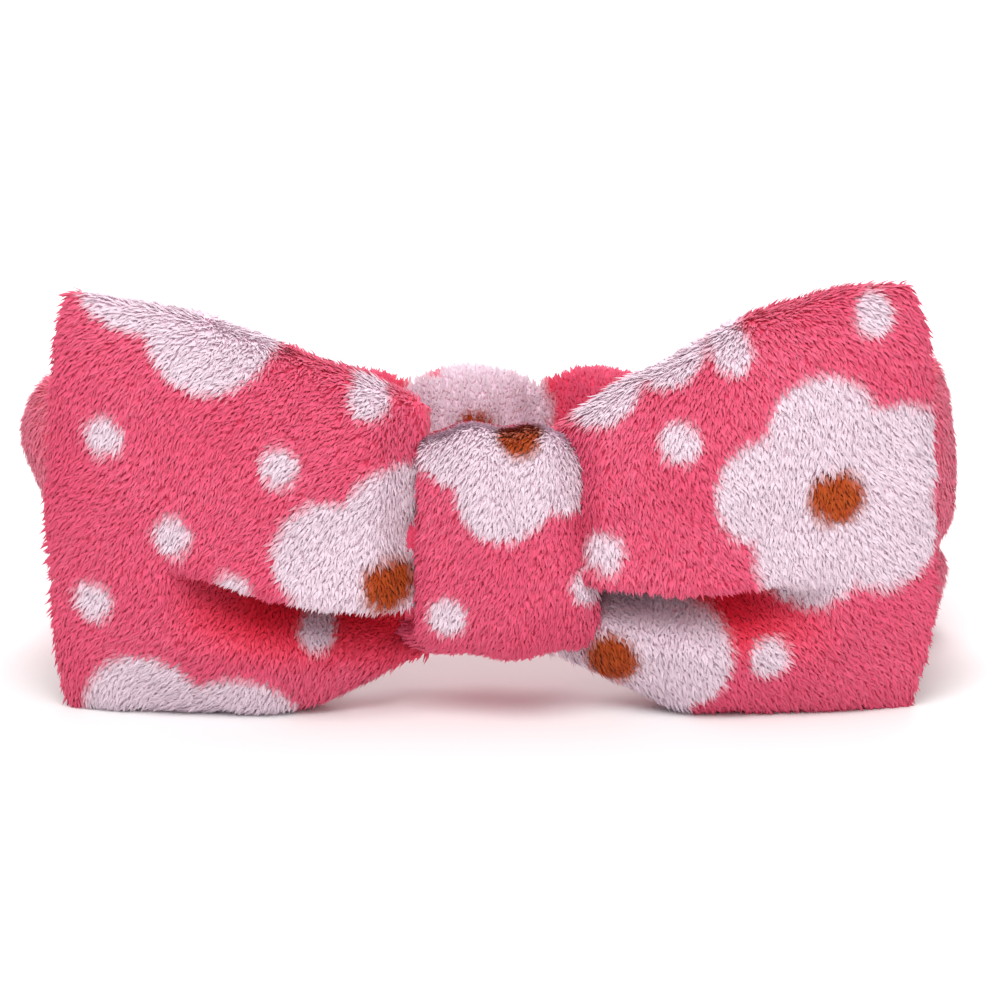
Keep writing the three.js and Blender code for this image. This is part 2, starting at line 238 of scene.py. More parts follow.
def textureNode(tree, kind, place=None, **values):
    # a texture on Object coordinates, unless another place is given
    texture = tree.nodes.new(kind)
    if place is None:
        place = tree.nodes.new("ShaderNodeTexCoord").outputs["Object"]
    tree.links.new(place, texture.inputs["Vector"])
    for label, value in values.items():
        texture.inputs[label].default_value = value
    return texture


def bumpFrom(tree, shader, height, distance, strength=1.0):
    bump = tree.nodes.new("ShaderNodeBump")
    bump.inputs["Strength"].default_value = strength
    bump.inputs["Distance"].default_value = distance
    tree.links.new(height, bump.inputs["Height"])
    tree.links.new(bump.outputs["Normal"], shader.inputs["Normal"])


def setFinish(shader, finish):
    for label, value in finish.items():
        shader.inputs[label].default_value = value


def noiseNode(tree, scale, detail=2.0, low=0.3, high=0.7):
    cloud = textureNode(tree, "ShaderNodeTexNoise", Scale=scale, Detail=detail)
    spread = tree.nodes.new("ShaderNodeMapRange")
    spread.inputs["From Min"].default_value = low
    spread.inputs["From Max"].default_value = high
    tree.links.new(cloud.outputs["Fac"], spread.inputs["Value"])
    return spread.outputs["Result"]


tuft = {
    "width": 0.43 * mm,           # half width at the root
    "unitWidth": 0.12,            # the same on the unscaled blade
    "bendOut": 0.95,              # reach along the nap, as a share of the length
    "rise": 0.23,                 # reach away from the cloth
}
pileColours = {
    # painted light: roots are painted lighter than tips, standing in for light scattered down
    # between the tufts
    "pinkRoot": (0.84, 0.070, 0.165),
    "pinkTip": (0.63, 0.074, 0.150),
    "pinkPale": (0.70, 0.140, 0.232),
    # painted shade: the deep red painted where the pile lies in shadow in creases
    "pinkCreaseShade": (0.80, 0.014, 0.040),
    "whiteRoot": (0.92, 0.70, 0.80),
    "whiteTip": (0.67, 0.545, 0.615),
    "eyeRoot": (0.42, 0.050, 0.002),
    "eyeTip": (0.33, 0.036, 0.001),
    "eyePale": (0.40, 0.070, 0.004),
}


pileFinish = {
    "Roughness": 0.62,
    "Specular IOR Level": 0.22,
    "Sheen Weight": 0.16,
    "Sheen Roughness": 0.45,
    "Sheen Tint": (1.0, 0.62, 0.76, 1),
}


def pileMaterial(name):
    material, tree, shader = newNodes(name)
    tip = attributeNode(tree, "tip")
    tone = attributeNode(tree, "tone")
    cloud = noiseNode(tree, 45.0)
    pinkEnd = mixColours(tree, tone, pileColours["pinkTip"], pileColours["pinkPale"])
    pinkEnd = mixColours(tree, cloud, pinkEnd, pileColours["pinkTip"])
    # painted light: the lighter roots stand in for light between the tufts
    pink = mixColours(tree, tip, pileColours["pinkRoot"], pinkEnd)
    # painted shade: creases are painted a deeper red
    pink = mixColours(tree, attributeNode(tree, "creaseShade"), pink, pileColours["pinkCreaseShade"])
    white = mixColours(tree, tip, pileColours["whiteRoot"], pileColours["whiteTip"])
    eyeEnd = mixColours(tree, tone, pileColours["eyeTip"], pileColours["eyePale"])
    eye = mixColours(tree, tip, pileColours["eyeRoot"], eyeEnd)
    colour = mixColours(tree, attributeNode(tree, "white"), pink, white)
    colour = mixColours(tree, attributeNode(tree, "eye"), colour, eye)
    tree.links.new(colour, shader.inputs["Base Color"])
    setFinish(shader, pileFinish)
    return material


groundColours = {
    # painted light: the ground is painted as light as the roots, for light scattered through the
    # pile
    "pink": ((0.78, 0.050, 0.130), (0.86, 0.075, 0.170)),
    "white": ((0.84, 0.60, 0.72), (0.92, 0.72, 0.82)),
    "eye": (0.24, 0.04, 0.004),
}


def groundMaterial(name):
    # knitted ground under the pile
    material, tree, shader = newNodes(name)
    cloud = noiseNode(tree, 900.0, 3.0)
    pink = mixColours(tree, cloud, *groundColours["pink"])
    white = mixColours(tree, cloud, *groundColours["white"])
    # painted shade: creases are painted a deeper red
    pink = mixColours(tree, attributeNode(tree, "creaseShade"), pink, pileColours["pinkCreaseShade"])
    colour = mixColours(tree, attributeNode(tree, "white"), pink, white)
    colour = mixColours(tree, attributeNode(tree, "eye"), colour, groundColours["eye"])
    tree.links.new(colour, shader.inputs["Base Color"])
    knit = textureNode(tree, "ShaderNodeTexVoronoi", Scale=1100.0)
    bumpFrom(tree, shader, knit.outputs["Distance"], 0.4 * mm, 0.6)
    setFinish(shader, {"Roughness": 0.95, "Sheen Weight": 0.2})
    return material


def threadMaterial(name, dark, light):
    # two plies twisted together
    material, tree, shader = newNodes(name)
    twist = textureNode(tree, "ShaderNodeTexWave", Scale=700.0, Distortion=1.5)
    twist.bands_direction = "DIAGONAL"
    tree.links.new(mixColours(tree, twist.outputs["Fac"], dark, light), shader.inputs["Base Color"])
    bumpFrom(tree, shader, twist.outputs["Fac"], 0.1 * mm)
    setFinish(shader, {"Roughness": 0.55})
    return material


def webbingMaterial(name):
    # ribs across, warp lines along
    material, tree, shader = newNodes(name)
    place = tree.nodes.new("ShaderNodeUVMap")
    place.uv_map = "weave"
    heights = []
    for direction, scale in (("X", 260.0), ("Y", 9.0)):
        rib = textureNode(tree, "ShaderNodeTexWave", place.outputs["UV"], Scale=scale)
        rib.inputs["Distortion"].default_value = 0.4
        rib.bands_direction = direction
        heights.append(rib.outputs["Fac"])
    join = tree.nodes.new("ShaderNodeMath")
    join.operation = "MULTIPLY"
    tree.links.new(heights[0], join.inputs[0])
    tree.links.new(heights[1], join.inputs[1])
    weave = mixColours(tree, join.outputs["Value"], (0.60, 0.57, 0.53), (0.88, 0.86, 0.82))
    colour = mixColours(tree, noiseNode(tree, 60.0), weave, (0.80, 0.77, 0.72))
    tree.links.new(colour, shader.inputs["Base Color"])
    bumpFrom(tree, shader, join.outputs["Value"], 0.25 * mm)
    setFinish(shader, {"Roughness": 0.8})
    return material


pileLook = pileMaterial("fleecePile")
groundLook = groundMaterial("fleeceGround")
threadLook = threadMaterial("pinkThread", (0.45, 0.04, 0.09), (0.78, 0.16, 0.27))
webbingLook = webbingMaterial("elasticWebbing")
print("materials ready")


# camera, light and floor
view = {
    "distance": 1.2,
    "elevation": 15.0,
    "target": (2.5 * mm, 0.0, 36.0 * mm),
    "widthSeen": 231.6 * mm,      # width of the frame at the target's distance
    "sensor": 36.0,
}


def addCamera():
    rise = math.radians(view["elevation"])
    target = Vector(view["target"])
    data = bpy.data.cameras.new("camera")
    data.sensor_width = view["sensor"]
    data.lens = view["sensor"] * view["distance"] / view["widthSeen"]
    data.clip_start = 0.05
    camera = addObject("camera", data)
    camera.location = target + Vector((0, -math.cos(rise), math.sin(rise))) * view["distance"]
    camera.rotation_euler = (math.pi / 2 - rise, 0, 0)
    scene.camera = camera


light = {                         # place, size and power in watts
    "key": ((-0.18, -0.62, 1.0), 0.8, 9.1),
    "fill": ((0.75, -0.75, 0.55), 0.9, 2.6),
    "back": ((0.1, 0.75, 0.85), 0.8, 7.0),
    "aim": (0, 0, 40 * mm),
    "world": 0.62,
}


def addLights():
    for name in ("key", "fill", "back"):
        place, size, power = light[name]
        data = bpy.data.lights.new(name, "AREA")
        data.shape = "DISK"
        data.size = size
        data.energy = power
        lamp = addObject(name, data)
        lamp.location = place
        aim = Vector(light["aim"]) - Vector(place)
        lamp.rotation_euler = aim.to_track_quat("-Z", "Y").to_euler()
    world = bpy.data.worlds.new("studio")
    world.use_nodes = True
    background = world.node_tree.nodes["Background"]
    background.inputs["Color"].default_value = (1, 1, 1, 1)
    background.inputs["Strength"].default_value = light["world"]
    scene.world = world
    scene.view_settings.view_transform = "Standard"


def addFloor():
    size = 2.5
    points = [(-size, -size, 0), (size, -size, 0), (size, size, 0), (-size, size, 0)]
    floor = newMesh("floor", points, [(0, 1, 2, 3)])
    material, tree, shader = newNodes("paleFloor")
    colour = mixColours(tree, noiseNode(tree, 3.0), (0.93, 0.92, 0.92), (0.95, 0.94, 0.94))
    tree.links.new(colour, shader.inputs["Base Color"])
    shader.inputs["Roughness"].default_value = 0.9
    floor.data.materials.append(material)


addCamera()
addLights()
addFloor()
print("camera, light and floor ready")


# pile: bent tufts scattered over a ground cloth by Geometry Nodes
def addTuft():
    # closed three-sided blade, one unit long, bent towards +X
    rings = [(0.0, -0.12, 1.0), (0.34, 0.62 * tuft["rise"], 0.95)]     # share, height, width
    points = []
    for share, height, width in rings:
        for k in range(3):
            angle = 2 * math.pi * k / 3 + math.pi
            across = math.sin(angle) * width
            along = math.cos(angle) * width * 0.5
            points.append((share * tuft["bendOut"], across, height, along))
    points.append((tuft["bendOut"], 0.0, tuft["rise"], 0.0))
    unit = tuft["unitWidth"]
    shape = [(x + w * unit, y * unit, z) for x, y, z, w in points]
    faces = [(0, 2, 1)]
    for k in range(3):
        n = (k + 1) % 3
        faces.append((k, n, 3 + n))
        faces.append((k, 3 + n, 3 + k))
        faces.append((3 + k, 3 + n, 6))
    blade = newMesh("tuftBlade", shape, faces)
    keepAttribute(blade, "tip", [0, 0, 0, 0.55, 0.55, 0.55, 1])
    blade.data.polygons.foreach_set("use_smooth", [False] * len(faces))
    return blade


blade = addTuft()
pointsPerTuft = len(blade.data.vertices)


def newTree(name, sizes):
    # a Geometry Nodes tree whose inputs are the names and values in sizes
    tree = bpy.data.node_groups.new(name, "GeometryNodeTree")
    face = tree.interface
    face.new_socket("Geometry", in_out="INPUT", socket_type="NodeSocketGeometry")
    for label, value in sizes.items():
        kind = "NodeSocketInt" if isinstance(value, int) else "NodeSocketFloat"
        socket = face.new_socket(label, in_out="INPUT", socket_type=kind)
        socket.default_value = value
    face.new_socket("Geometry", in_out="OUTPUT", socket_type="NodeSocketGeometry")
    return tree, tree.nodes.new("NodeGroupInput")


def endTree(tree, instances, material):
    nodes, links = tree.nodes, tree.links
    real = nodes.new("GeometryNodeRealizeInstances")
    links.new(instances, real.inputs["Geometry"])
    paint = nodes.new("GeometryNodeSetMaterial")
    paint.inputs["Material"].default_value = material
    links.new(real.outputs["Geometry"], paint.inputs["Geometry"])
    links.new(paint.outputs["Geometry"], nodes.new("NodeGroupOutput").inputs["Geometry"])


def tuftTree(name, sizes):
    tree, given = newTree(name, sizes)
    nodes, links = tree.nodes, tree.links

    def named(attribute, kind):
        node = nodes.new("GeometryNodeInputNamedAttribute")
        node.data_type = kind
        node.inputs["Name"].default_value = attribute
        return node.outputs["Attribute"]

    def maths(operation, a, b):
        node = nodes.new("ShaderNodeMath")
        node.operation = operation
        for socket, value in ((node.inputs[0], a), (node.inputs[1], b)):
            if isinstance(value, (int, float)):
                socket.default_value = value
            else:
                links.new(value, socket)
        return node.outputs["Value"]

    def randomly(low, high, shift):
        node = nodes.new("FunctionNodeRandomValue")
        node.data_type = "FLOAT"
        links.new(maths("ADD", given.outputs["Seed"], shift), node.inputs["Seed"])
        node.inputs[2].default_value = low
        node.inputs[3].default_value = high
        return node.outputs[1]

    scatter = nodes.new("GeometryNodeDistributePointsOnFaces")
    scatter.distribute_method = "RANDOM"
    links.new(given.outputs["Geometry"], scatter.inputs["Mesh"])
    density = maths("MULTIPLY", given.outputs["Density"], named("cover", "FLOAT"))
    links.new(density, scatter.inputs["Density"])
    links.new(given.outputs["Seed"], scatter.inputs["Seed"])
    upright = nodes.new("FunctionNodeAlignRotationToVector")
    upright.axis = "Z"
    links.new(scatter.outputs["Normal"], upright.inputs["Vector"])
    combed = nodes.new("FunctionNodeAlignRotationToVector")
    combed.axis = "X"
    combed.pivot_axis = "Z"
    links.new(upright.outputs["Rotation"], combed.inputs["Rotation"])
    links.new(named("nap", "FLOAT_VECTOR"), combed.inputs["Vector"])
    stray = nodes.new("FunctionNodeEulerToRotation")
    angles = nodes.new("ShaderNodeCombineXYZ")
    wander = given.outputs["Wander"]
    links.new(maths("MULTIPLY", randomly(-0.35, 0.35, 11), wander), angles.inputs["X"])
    links.new(maths("MULTIPLY", randomly(-0.55, 0.18, 12), wander), angles.inputs["Y"])
    links.new(maths("MULTIPLY", randomly(-1.0, 1.0, 13), wander), angles.inputs["Z"])
    links.new(angles.outputs["Vector"], stray.inputs["Euler"])
    turned = nodes.new("FunctionNodeRotateRotation")
    turned.rotation_space = "LOCAL"
    links.new(combed.outputs["Rotation"], turned.inputs["Rotation"])
    links.new(stray.outputs["Rotation"], turned.inputs["Rotate By"])
    size = nodes.new("ShaderNodeCombineXYZ")
    length = maths("MULTIPLY", given.outputs["Length"], randomly(0.72, 1.18, 21))
    length = maths("MULTIPLY", length, named("depth", "FLOAT"))
    width = maths("MULTIPLY", given.outputs["Width"], randomly(0.7, 1.2, 22))
    links.new(length, size.inputs["X"])
    links.new(maths("DIVIDE", width, tuft["unitWidth"]), size.inputs["Y"])
    links.new(length, size.inputs["Z"])
    source = nodes.new("GeometryNodeObjectInfo")
    source.inputs["Object"].default_value = blade
    plant = nodes.new("GeometryNodeInstanceOnPoints")
    links.new(scatter.outputs["Points"], plant.inputs["Points"])
    links.new(source.outputs["Geometry"], plant.inputs["Instance"])
    links.new(turned.outputs["Rotation"], plant.inputs["Rotation"])
    links.new(size.outputs["Vector"], plant.inputs["Scale"])
    keep = nodes.new("GeometryNodeStoreNamedAttribute")
    keep.data_type = "FLOAT"
    keep.domain = "INSTANCE"
    keep.inputs["Name"].default_value = "tone"
    links.new(plant.outputs["Instances"], keep.inputs["Geometry"])
    links.new(randomly(0.0, 1.0, 31), keep.inputs["Value"])
    endTree(tree, keep.outputs["Geometry"], pileLook)
    return tree


pile = {
    "Density": 2.6e6,            # tufts on a square metre
    "Length": 3.1 * mm,
    "Width": tuft["width"],
    "Wander": 0.48,
    "Seed": 1,
}
pileTree = tuftTree("pileTufts", pile)


def setInput(modifier, label, value):
    for item in modifier.node_group.interface.items_tree:
        if item.item_type == "SOCKET" and item.in_out == "INPUT" and item.name == label:
            modifier[item.identifier] = value


def bakeCells(obj):
    # a small square of its own on the bake map for every tuft
    mesh = obj.data
    corners = cornerVertices(mesh)
    tufts = len(mesh.vertices) // pointsPerTuft
    side = max(1, math.ceil(math.sqrt(tufts)))
    rootSpots = [(0.1, 0.1), (0.9, 0.1), (0.5, 0.2)]
    middleSpots = [(0.2, 0.5), (0.8, 0.5), (0.5, 0.55)]
    spots = np.array(rootSpots + middleSpots + [(0.5, 0.9)])
    which = corners // pointsPerTuft
    local = spots[corners % pointsPerTuft]
    cell = np.stack([which % side, which // side], 1)
    layer = mesh.uv_layers.new(name="OFBake")
    layer.data.foreach_set("uv", ((cell + local) / side).ravel())


def grownMesh(obj):
    # the object's shape with its modifiers, as a plain mesh
    graph = bpy.context.evaluated_depsgraph_get()
    return bpy.data.meshes.new_from_object(obj.evaluated_get(graph))


def growPile(ground, name, seed, density=1.0):
    # returns the tufts of one ground cloth as a plain mesh
    modifier = ground.modifiers.new("pile", "NODES")
    modifier.node_group = pileTree
    setInput(modifier, "Density", pile["Density"] * density)
    setInput(modifier, "Length", pile["Length"])
    setInput(modifier, "Seed", seed)
    mesh = grownMesh(ground)
    ground.modifiers.remove(modifier)
    mesh.name = name
    grown = addObject(name, mesh)
    bakeCells(grown)
    tufts = len(mesh.vertices) // pointsPerTuft
    print("pile", name, tufts, "tufts,", len(mesh.polygons), "faces")
    return grown


# wings of the bow: two panels sewn round the edge and puffed
wing = {
    "root": 13.0 * mm,            # where a wing starts, inside the knot
    "rootBase": 13.0 * mm,
    "rootPuff": 0.34,
    "frontPuff": 19.5 * mm,
    "backPuff": 9.5 * mm,
    "mouthPuff": 0.78,            # share of the puff reached just outside the knot
    "tipPuff": 0.18,
    "roundness": 0.62,            # power of the puffed section
    "lip": 5.0 * mm,              # how far the upper lobe hangs over the pleat
    "lipRise": 1.6 * mm,
    "lipAt": 3.0 * mm,            # height above the crease
    "lipSpread": 4.5 * mm,
    "shelf": (3 * mm, 19 * mm),   # where the pleat comes forward again, below the crease
    "shelfKeep": 0.85,
    "foldHeight": 1.3 * mm,       # small gathers that fan out from the knot
    "foldReach": 20.0 * mm,
    "cornerRound": 2.6 * mm,
    "sideBulge": 0.034,
    "steps": (66, 66),
    "blendReach": 13.0 * mm,
    "pileSplit": 58.0 * mm,       # the front's pile is two pieces, on either side of this
}
wings = {
    "left": {
        "side": -1,
        "reach": 94.4 * mm,
        "tipTop": 95.5 * mm,
        "rootTop": 69.0 * mm,
        "topCurve": 1.55,
        "pleatHeights": (29.0 * mm, 37.5 * mm),
        "pleatLength": 56.0 * mm,
        "pleatDepth": 21.0 * mm,
        "nap": (-0.55, 0.0, -0.85),
        "seed": 3,
        "upperFlowers": [(-22, 33.5, 79, 1.0), (-60, 108, 270, 1.2)],
        "upperDots": [(-25.5, 73.6), (-84, 66), (-45, 60.5), (-69, 45), (-55.5, 32.5)],
        "lowerFlowers": [(-69, -16, 42, 1.25)],
        "lowerDots": [(-87, 28), (-38, 21)],
        "backFlowers": [(-52, 46, 20, 1.0), (-60, 108, 270, 1.2)],
        "backDots": [(-84, 80), (-60, 84), (-30, 66), (-88, 44), (-82, 14), (-50, 10), (-26, 26)],
    },
    "right": {
        "side": 1,
        "reach": 95.4 * mm,
        "tipTop": 97.0 * mm,
        "rootTop": 62.5 * mm,
        "topCurve": 1.9,
        "pleatHeights": (37.0 * mm, 32.5 * mm),
        "pleatLength": 62.0 * mm,
        "pleatDepth": 20.0 * mm,
        "nap": (0.35, 0.0, -0.9),
        "seed": 8,
        "upperFlowers": [(76.2, 53.3, 102, 1.03), (24, 94, 265, 1.0)],
        "upperDots": [(83.5, 92), (53.4, 84.7), (42, 66), (25.5, 41)],
        "lowerFlowers": [(27, 15, 5, 1.0), (76.2, 53.3, 102, 1.03)],
        "lowerDots": [(61.5, 16)],
        "backFlowers": [(50, 50, 50, 1.0), (24, 94, 265, 1.0)],
        "backDots": [(84, 84), (28, 72), (86, 52), (88, 22), (62, 12), (30, 22), (52, 88)],
    },
}


def wingGrid(look, front):
    rows, columns = wing["steps"]
    along = np.linspace(0, 1, rows)[:, None] ** 0.9
    up = (1 - np.cos(np.linspace(0, np.pi, columns)))[None, :] / 2
    rootX = wing["root"]
    x = rootX + (look["reach"] - rootX) * along
    low = wing["rootBase"] * (1 - smooth(along, 0.0, 0.42))
    climb = 1 - (1 - along) ** look["topCurve"]
    high = look["rootTop"] + (look["tipTop"] - look["rootTop"]) * climb
    z = low + (high - low) * up
    edge = wing["cornerRound"] / look["reach"]
    x = x * (1 - edge * along ** 8 * np.abs(2 * up - 1) ** 5 * (0.55 + 0.45 * up))
    x = x * (1 + wing["sideBulge"] * along ** 3 * np.sin(np.pi * up ** 0.7))
    away = x - rootX
    mouth = wing["mouthPuff"]
    opening = wing["rootPuff"] + (mouth - wing["rootPuff"]) * smooth(away, 2 * mm, 13 * mm)
    fullness = opening + (1 - mouth) * smooth(away, 13 * mm, 42 * mm)
    close = np.sqrt(np.clip(1 - along ** 14, 0, 1)) * np.sqrt(np.clip(1 - (1 - along) ** 60, 0, 1))
    fullness = (fullness * (1 - along ** 3.2) + wing["tipPuff"] * along ** 3.2) * close
    section = np.sin(np.pi * np.linspace(0, 1, columns))[None, :] ** wing["roundness"]
    puff = wing["frontPuff"] if front else wing["backPuff"]
    lift = puff * fullness * section
    fan = np.cos(2 * np.pi * (2.6 * up + 0.2)) * wing["foldHeight"]
    lift = lift + fan * np.exp(-away / wing["foldReach"]) * section * close
    if front:
        start, end = look["pleatHeights"]
        reach = np.clip((away - 3 * mm) / look["pleatLength"], 0, 1)
        crease = start + (end - start) * reach
        above = z - crease
        fade = (1 - reach ** 2.2) * smooth(away, -1 * mm, 5 * mm)
        shelf = 1 - smooth(-above, *wing["shelf"]) * wing["shelfKeep"]
        drop = smooth(-above, -1.2 * mm, 1.2 * mm) * shelf
        lift = lift - look["pleatDepth"] * fade * drop * section
        lipFade = bell(above, wing["lipAt"], wing["lipSpread"]) * fade
        lift = lift + wing["lipRise"] * lipFade
        z = z - wing["lip"] * lipFade
        upper = above > 0
        # painted shade: deeper red painted under the pleat's lip, where shadow falls
        creaseShade = smooth(-above, -1.5 * mm, 2 * mm) * (1 - smooth(-above, 9 * mm, 22 * mm))
        creaseShade = np.minimum(1.5 * fade, 1) * creaseShade
    else:
        upper = np.ones(z.shape, bool)
        creaseShade = np.zeros(z.shape)
    facing = -1 if front else 1
    y = seamY + facing * np.maximum(lift, 0)
    x = np.broadcast_to(x, z.shape)
    grid = np.stack([x * look["side"], y, z], -1)
    return grid, np.broadcast_to(upper, z.shape), np.broadcast_to(creaseShade, z.shape)


def sewWing(name, look):
    # front and back grids share their outer row of points, which is the sewn edge
    front, upper, creaseShade = wingGrid(look, True)
    back = wingGrid(look, False)[0]
    rows, columns = wing["steps"]
    border = np.zeros((rows, columns), bool)
    border[[0, -1], :] = True
    border[:, [0, -1]] = True
    front[border, 1] = seamY
    back[border] = front[border]
    number = np.arange(rows * columns).reshape(rows, columns)
    backNumber = number.copy()
    backNumber[~border] = rows * columns + np.arange((~border).sum())
    points = np.vstack([front.reshape(-1, 3), back[~border]])
    faces = []
    for i in range(rows - 1):
        for j in range(columns - 1):
            corners = ((i, j), (i + 1, j), (i + 1, j + 1), (i, j + 1))
            faces.append([number[at] for at in corners])
            faces.append([backNumber[at] for at in (corners[0], *corners[:0:-1])])
    obj = newMesh(name, points, [tuple(int(k) for k in f) for f in faces])
    rest = np.ones((~border).sum())
    return obj, np.concatenate([upper.ravel(), rest > 0]), np.concatenate([creaseShade.ravel(), rest * 0])


cloth = {
    "pressure": 1.6,
    "frames": 14,
    "largestMove": 3.0 * mm,
    "settings": {
        "quality": 5,
        "mass": 0.25,
        "tension_stiffness": 18,
        "compression_stiffness": 12,
        "shear_stiffness": 8,
        "bending_stiffness": 1.2,
        "use_pressure": True,
        "vertex_group_mass": "held",
    },
}


def puffCloth(obj, held):
    # Cloth swells the sewn shape; held is 1 where the fabric stays put
    start = meshPoints(obj)
    frames, cap = cloth["frames"], cloth["largestMove"]
    group = obj.vertex_groups.new(name="held")
    for index, weight in enumerate(held):
        if weight > 0.01:
            group.add([index], float(weight), "REPLACE")
    modifier = obj.modifiers.new("cloth", "CLOTH")
    settings = modifier.settings
    for label, value in cloth["settings"].items():
        setattr(settings, label, value)
    settings.uniform_pressure_force = cloth["pressure"]
    settings.effector_weights.gravity = 0
    modifier.collision_settings.use_collision = False
    modifier.point_cache.frame_start = 1
    modifier.point_cache.frame_end = frames
    scene.frame_start = 1
    scene.frame_end = frames
    for frameNumber in range(1, frames + 1):
        scene.frame_set(frameNumber)
    graph = bpy.context.evaluated_depsgraph_get()
    moved = meshPoints(obj.evaluated_get(graph))
    obj.modifiers.remove(modifier)
    obj.vertex_groups.clear()
    scene.frame_set(1)
    step = moved - start
    distance = np.linalg.norm(step, axis=1)
    limit = cap * np.tanh(distance / cap) / np.maximum(distance, 1e-9)
    setPoints(obj, start + step * limit[:, None])
    print("cloth", obj.name, "moved by up to", round(float(distance.max()) / mm, 1), "mm")


def napField(points, lean, seed, wander=0.32):
    # combing direction, turned a little from place to place
    combed = np.empty_like(points)
    for i, p in enumerate(points):
        turn = noise.noise(Vector(p) * 38 + Vector((seed, 0, 0))) * wander * math.pi
        c, s = math.cos(turn), math.sin(turn)
        combed[i] = (c * lean[0] - s * lean[2], lean[1], s * lean[0] + c * lean[2])
    return combed


def dressWing(side):
    look = wings[side]
    obj, upper, creaseShade = sewWing("wing_" + side, look)
    points = meshPoints(obj)
    roughen(obj, 26 * mm, 1.5 * mm, look["seed"])
    roughen(obj, 9 * mm, 0.6 * mm, look["seed"] + 5)
    rootward = np.abs(points[:, 0]) - wing["root"]
    held = np.clip(1 - rootward / (16 * mm), 0, 1)
    rim = np.abs(points[:, 1] - seamY) < 0.5 * mm
    held = np.maximum(held, rim * 1.0)
    puffCloth(obj, held)
    points = meshPoints(obj)
    plane = points[:, [0, 2]]
    white, eye = motifs(plane, look["upperFlowers"], look["upperDots"])
    whiteLow, eyeLow = motifs(plane, look["lowerFlowers"], look["lowerDots"])
    white, eye = np.where(upper, white, whiteLow), np.where(upper, eye, eyeLow)
    whiteBack, eyeBack = motifs(plane, look["backFlowers"], look["backDots"])
    isBack = smooth(points[:, 1], seamY, seamY + 1.0 * mm)
    keepAttribute(obj, "white", white * (1 - isBack) + whiteBack * isBack)
    keepAttribute(obj, "eye", eye * (1 - isBack) + eyeBack * isBack)
    keepAttribute(obj, "creaseShade", creaseShade)
    keepAttribute(obj, "cover", smooth(np.abs(points[:, 0]), 14 * mm, 16 * mm))
    keepAttribute(obj, "depth", np.ones(len(points)))
    keepAttribute(obj, "nap", napField(points, look["nap"], look["seed"]), "FLOAT_VECTOR")
    obj.data.materials.append(groundLook)
    return obj


def pileOn(ground, wanted, name, seed, density):
    # pile on the wanted faces of a ground cloth only
    copy = ground.copy()
    copy.data = ground.data.copy()
    scene.collection.objects.link(copy)
    centres = np.empty(len(copy.data.polygons) * 3)
    copy.data.polygons.foreach_get("center", centres)
    keep = wanted(centres.reshape(-1, 3))
    work = bmesh.new()
    work.from_mesh(copy.data)
    work.faces.ensure_lookup_table()
    gone = [face for face, stays in zip(work.faces, keep) if not stays]
    bmesh.ops.delete(work, geom=gone, context="FACES")
    work.to_mesh(copy.data)
    work.free()
    grown = growPile(copy, name, seed, density)
    bpy.data.objects.remove(copy)
    return grown


def addWing(side):
    look = wings[side]
    ground = dressWing(side)
    pieces = [ground]
    split = wing["pileSplit"]
    areas = {
        "inner": (lambda c: (c[:, 1] < seamY) & (np.abs(c[:, 0]) < split), 1.0),
        "outer": (lambda c: (c[:, 1] < seamY) & (np.abs(c[:, 0]) >= split), 1.0),
        "back": (lambda c: c[:, 1] >= seamY, 0.8),
    }
    for index, (area, (wanted, density)) in enumerate(areas.items()):
        name, seed = f"wing_{side}_{area}_pile", look["seed"] * 10 + index
        pieces.append(pileOn(ground, wanted, name, seed, density))
    for piece in pieces:
        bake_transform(piece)
    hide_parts(f"wing_{side}_front_panel", f"wing_{side}_back_panel")


addWing("left")
addWing("right")
print("bow wings ready")

# knot: strip of fleece wrapped round the pinched bow and the band
knot = {
    "steps": (150, 44),
    "squareness": 5.0,
    "crown": 4.5 * mm,
    "inset": 1.2 * mm,
    "leanBottom": 5.0 * mm,       # the knot sits a little to the right
    "leanTop": 1.6 * mm,
    "halfBottom": 21.0 * mm,
    "halfTop": 16.2 * mm,
    "creaseDepth": 0.7 * mm,
    "edgeThinning": 0.13,         # how much closer to the bow the strip's edges lie
    "wall": 4.0 * mm,
    "topSlope": 0.30,             # the top falls away towards the band
    "slopeFrom": 9.0 * mm,
    "napAside": -0.4,
    "density": 1.05,
    "seed": 14,
    "flowers": [(7.0, 67, 256, 0.88)],
    "dots": [(-8.5, 26), (22.5, 33)],
}


def tangents(surface, axis, way=1):
    # unit steps from one grid point to the next
    step = np.roll(surface, -way, axis) - np.roll(surface, way, axis)
    return step / np.maximum(np.linalg.norm(step, axis=2, keepdims=True), 1e-9)


